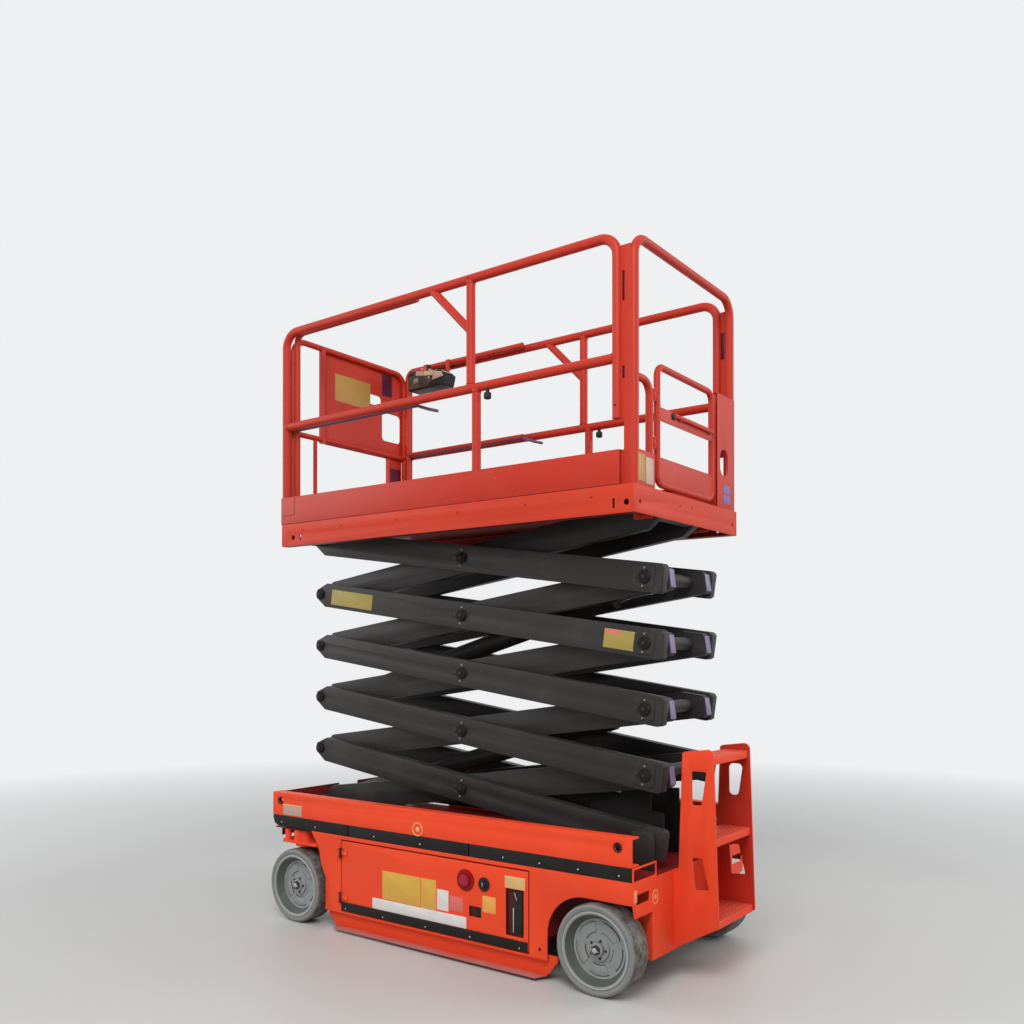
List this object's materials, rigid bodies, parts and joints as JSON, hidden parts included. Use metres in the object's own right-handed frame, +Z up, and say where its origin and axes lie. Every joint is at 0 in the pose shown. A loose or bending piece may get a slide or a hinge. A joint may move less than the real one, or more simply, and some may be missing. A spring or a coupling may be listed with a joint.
{
  "type": "self-propelled scissor lift",
  "caption": "Electric slab scissor lift, partly raised: steered wheels, pothole guards, stacked scissor arms with lift cylinders, railed platform with a roll-out deck, entry gate and ladder.",
  "frame": {"origin": "bottom centre of the bounding box, on the floor under the middle of the machine, platform slightly raised", "axes": "+X towards the entry ladder, -X towards the steered wheels, +Z up"},
  "size_m": [2.486, 1.19, 3.25],
  "materials": {
    "battery_plastic": "matte",
    "black_plastic": "matte",
    "dark_paint": "satin",
    "inner_red": "satin",
    "red_paint": "satin",
    "rim_paint": "satin",
    "rod_chrome": "polished",
    "steel": "machined",
    "tyre_rubber": "matte"
  },
  "bodies": {
    "chassis": {"side_beams": "red_paint", "black_strips": "black_plastic", "side_panels": "red_paint", "chassis_tub": "inner_red", "rear_end_plate": "red_paint", "front_end_plate": "inner_red", "door_hinges": "steel", "entry_ladder": "red_paint", "front_axle": "red_paint", "rear_drives": "dark_paint", "battery_block": "battery_plastic", "base_pivots": "dark_paint"},
    "outer_arms_1": {"outer_arms_1": "dark_paint"},
    "inner_arms_1": {"inner_arms_1": "dark_paint"},
    "outer_arms_2": {"outer_arms_2": "dark_paint"},
    "inner_arms_2": {"inner_arms_2": "dark_paint"},
    "outer_arms_3": {"outer_arms_3": "dark_paint"},
    "inner_arms_3": {"inner_arms_3": "dark_paint"},
    "outer_arms_4": {"outer_arms_4": "dark_paint"},
    "inner_arms_4": {"inner_arms_4": "dark_paint"},
    "outer_arms_5": {"outer_arms_5": "dark_paint"},
    "inner_arms_5": {"inner_arms_5": "dark_paint"},
    "platform": {"platform_frame": "red_paint", "side_rail_near": "red_paint", "side_rail_far": "red_paint", "rear_frame": "red_paint"},
    "lift_barrel_1": {"lift_barrel_1": "dark_paint"},
    "lift_rod_1": {"lift_rod_1": "rod_chrome"},
    "lift_barrel_3": {"lift_barrel_3": "dark_paint"},
    "lift_rod_3": {"lift_rod_3": "rod_chrome"},
    "extension": {"extension_deck": "red_paint", "extension_front_frame": "red_paint", "extension_side_near": "red_paint", "extension_side_far": "red_paint", "control_box": "black_plastic"},
    "entry_gate": {"entry_gate": "red_paint"},
    "compartment_door_near": {"compartment_door_near": "red_paint"},
    "pothole_guard_near": {"pothole_guard_near": "red_paint"},
    "compartment_door_far": {"compartment_door_far": "red_paint"},
    "pothole_guard_far": {"pothole_guard_far": "red_paint"},
    "steering_knuckle_near": {"steering_knuckle_near": "red_paint"},
    "steering_knuckle_far": {"steering_knuckle_far": "red_paint"},
    "tie_rod": {"tie_rod": "steel"},
    "wheel_front_near": {"tyre_front_near": "tyre_rubber", "rim_front_near": "rim_paint"},
    "wheel_front_far": {"tyre_front_far": "tyre_rubber", "rim_front_far": "rim_paint"},
    "wheel_rear_near": {"tyre_rear_near": "tyre_rubber", "rim_rear_near": "rim_paint"},
    "wheel_rear_far": {"tyre_rear_far": "tyre_rubber", "rim_rear_far": "rim_paint"}
  },
  "joints": [
    {"name": "scissor_lift", "type": "hinge", "parent": "chassis", "child": "outer_arms_1", "pos_m": [0.924, 0, 0.61], "axis": [0, 1, 0], "range_deg": [-3.8, 50.4]},
    {"name": "middle_pivot_1", "type": "hinge", "parent": "outer_arms_1", "child": "inner_arms_1", "pos_m": [-0.1298, 0, 0.757], "axis": [0, 1, 0], "range_deg": [-100.82, 7.62]},
    {"name": "outer_pivot_2", "type": "hinge", "parent": "inner_arms_1", "child": "outer_arms_2", "pos_m": [0.924, 0, 0.904], "axis": [0, 1, 0], "range_deg": [-7.62, 100.82]},
    {"name": "middle_pivot_2", "type": "hinge", "parent": "outer_arms_2", "child": "inner_arms_2", "pos_m": [-0.1298, 0, 1.051], "axis": [0, 1, 0], "range_deg": [-100.82, 7.62]},
    {"name": "outer_pivot_3", "type": "hinge", "parent": "inner_arms_2", "child": "outer_arms_3", "pos_m": [0.924, 0, 1.198], "axis": [0, 1, 0], "range_deg": [-7.62, 100.82]},
    {"name": "middle_pivot_3", "type": "hinge", "parent": "outer_arms_3", "child": "inner_arms_3", "pos_m": [-0.1298, 0, 1.345], "axis": [0, 1, 0], "range_deg": [-100.82, 7.62]},
    {"name": "outer_pivot_4", "type": "hinge", "parent": "inner_arms_3", "child": "outer_arms_4", "pos_m": [0.924, 0, 1.492], "axis": [0, 1, 0], "range_deg": [-7.62, 100.82]},
    {"name": "middle_pivot_4", "type": "hinge", "parent": "outer_arms_4", "child": "inner_arms_4", "pos_m": [-0.1298, 0, 1.639], "axis": [0, 1, 0], "range_deg": [-100.82, 7.62]},
    {"name": "outer_pivot_5", "type": "hinge", "parent": "inner_arms_4", "child": "outer_arms_5", "pos_m": [0.924, 0, 1.786], "axis": [0, 1, 0], "range_deg": [-7.62, 100.82]},
    {"name": "middle_pivot_5", "type": "hinge", "parent": "outer_arms_5", "child": "inner_arms_5", "pos_m": [-0.1298, 0, 1.933], "axis": [0, 1, 0], "range_deg": [-100.82, 7.62]},
    {"name": "platform_pivot", "type": "hinge", "parent": "inner_arms_5", "child": "platform", "pos_m": [0.924, 0, 2.08], "axis": [0, 1, 0], "range_deg": [-3.82, 50.42]},
    {"name": "lift_foot_1", "type": "hinge", "parent": "inner_arms_1", "child": "lift_barrel_1", "pos_m": [-1.18359, 0, 0.61], "axis": [0, 1, 0], "range_deg": [-6.9, 0.54]},
    {"name": "lift_stroke_1", "type": "slide", "parent": "lift_barrel_1", "child": "lift_rod_1", "axis": [0.9608, 0, 0.2771], "range_m": [-0.12207, 1.60677]},
    {"name": "lift_foot_3", "type": "hinge", "parent": "inner_arms_3", "child": "lift_barrel_3", "pos_m": [-1.18359, 0, 1.198], "axis": [0, 1, 0], "range_deg": [-6.9, 0.54]},
    {"name": "lift_stroke_3", "type": "slide", "parent": "lift_barrel_3", "child": "lift_rod_3", "axis": [0.9608, 0, 0.2771], "range_m": [-0.12207, 1.60677]},
    {"name": "extension_slide", "type": "slide", "parent": "platform", "child": "extension", "axis": [-1, 0, 0], "range_m": [0, 0.9]},
    {"name": "gate_hinge", "type": "hinge", "parent": "platform", "child": "entry_gate", "pos_m": [0.992, -0.318, 2.37], "axis": [0, 0, 1], "range_deg": [0, 90]},
    {"name": "door_hinge_near", "type": "hinge", "parent": "chassis", "child": "compartment_door_near", "pos_m": [-0.7, -0.5725, 0.29], "axis": [0, 0, -1], "range_deg": [0, 90]},
    {"name": "guard_lift_near", "type": "slide", "parent": "chassis", "child": "pothole_guard_near", "axis": [0, 0, 1], "range_m": [0, 0.07]},
    {"name": "door_hinge_far", "type": "hinge", "parent": "chassis", "child": "compartment_door_far", "pos_m": [-0.7, 0.5725, 0.29], "axis": [0, 0, 1], "range_deg": [0, 90]},
    {"name": "guard_lift_far", "type": "slide", "parent": "chassis", "child": "pothole_guard_far", "axis": [0, 0, 1], "range_m": [0, 0.07]},
    {"name": "steering_near", "type": "hinge", "parent": "chassis", "child": "steering_knuckle_near", "pos_m": [-1.034, -0.5, 0.4], "axis": [0, 0, 1], "range_deg": [-40, 40]},
    {"name": "steering_far", "type": "hinge", "parent": "chassis", "child": "steering_knuckle_far", "pos_m": [-1.034, 0.5, 0.4], "axis": [0, 0, 1], "range_deg": [-40.1, 40.1]},
    {"name": "tie_rod_pivot", "type": "hinge", "parent": "steering_knuckle_near", "child": "tie_rod", "pos_m": [-0.904, -0.5, 0.4], "axis": [0, 0, 1], "range_deg": [-40.1, 40.1]},
    {"name": "wheel_front_near_spin", "type": "hinge", "parent": "steering_knuckle_near", "child": "wheel_front_near", "pos_m": [-1.034, -0.5315, 0.195], "axis": [0, 1, 0], "continuous": true},
    {"name": "wheel_front_far_spin", "type": "hinge", "parent": "steering_knuckle_far", "child": "wheel_front_far", "pos_m": [-1.034, 0.5315, 0.195], "axis": [0, 1, 0], "continuous": true},
    {"name": "wheel_rear_near_spin", "type": "hinge", "parent": "chassis", "child": "wheel_rear_near", "pos_m": [0.859, -0.5315, 0.195], "axis": [0, 1, 0], "continuous": true},
    {"name": "wheel_rear_far_spin", "type": "hinge", "parent": "chassis", "child": "wheel_rear_far", "pos_m": [0.859, 0.5315, 0.195], "axis": [0, 1, 0], "continuous": true}
  ],
  "couplings": [
    {"joint": "middle_pivot_1", "follows": "scissor_lift", "ratio": -2},
    {"joint": "outer_pivot_2", "follows": "scissor_lift", "ratio": 2},
    {"joint": "middle_pivot_2", "follows": "scissor_lift", "ratio": -2},
    {"joint": "outer_pivot_3", "follows": "scissor_lift", "ratio": 2},
    {"joint": "middle_pivot_3", "follows": "scissor_lift", "ratio": -2},
    {"joint": "outer_pivot_4", "follows": "scissor_lift", "ratio": 2},
    {"joint": "middle_pivot_4", "follows": "scissor_lift", "ratio": -2},
    {"joint": "outer_pivot_5", "follows": "scissor_lift", "ratio": 2},
    {"joint": "middle_pivot_5", "follows": "scissor_lift", "ratio": -2},
    {"joint": "platform_pivot", "follows": "scissor_lift", "ratio": 1},
    {"joint": "lift_foot_1", "follows": "scissor_lift", "ratio": -0.1364},
    {"joint": "lift_stroke_1", "follows": "scissor_lift", "m_per_rad": 1.8255},
    {"joint": "lift_foot_3", "follows": "scissor_lift", "ratio": -0.1364},
    {"joint": "lift_stroke_3", "follows": "scissor_lift", "m_per_rad": 1.8255},
    {"joint": "steering_far", "follows": "steering_near", "ratio": 1},
    {"joint": "tie_rod_pivot", "follows": "steering_near", "ratio": -1}
  ]
}
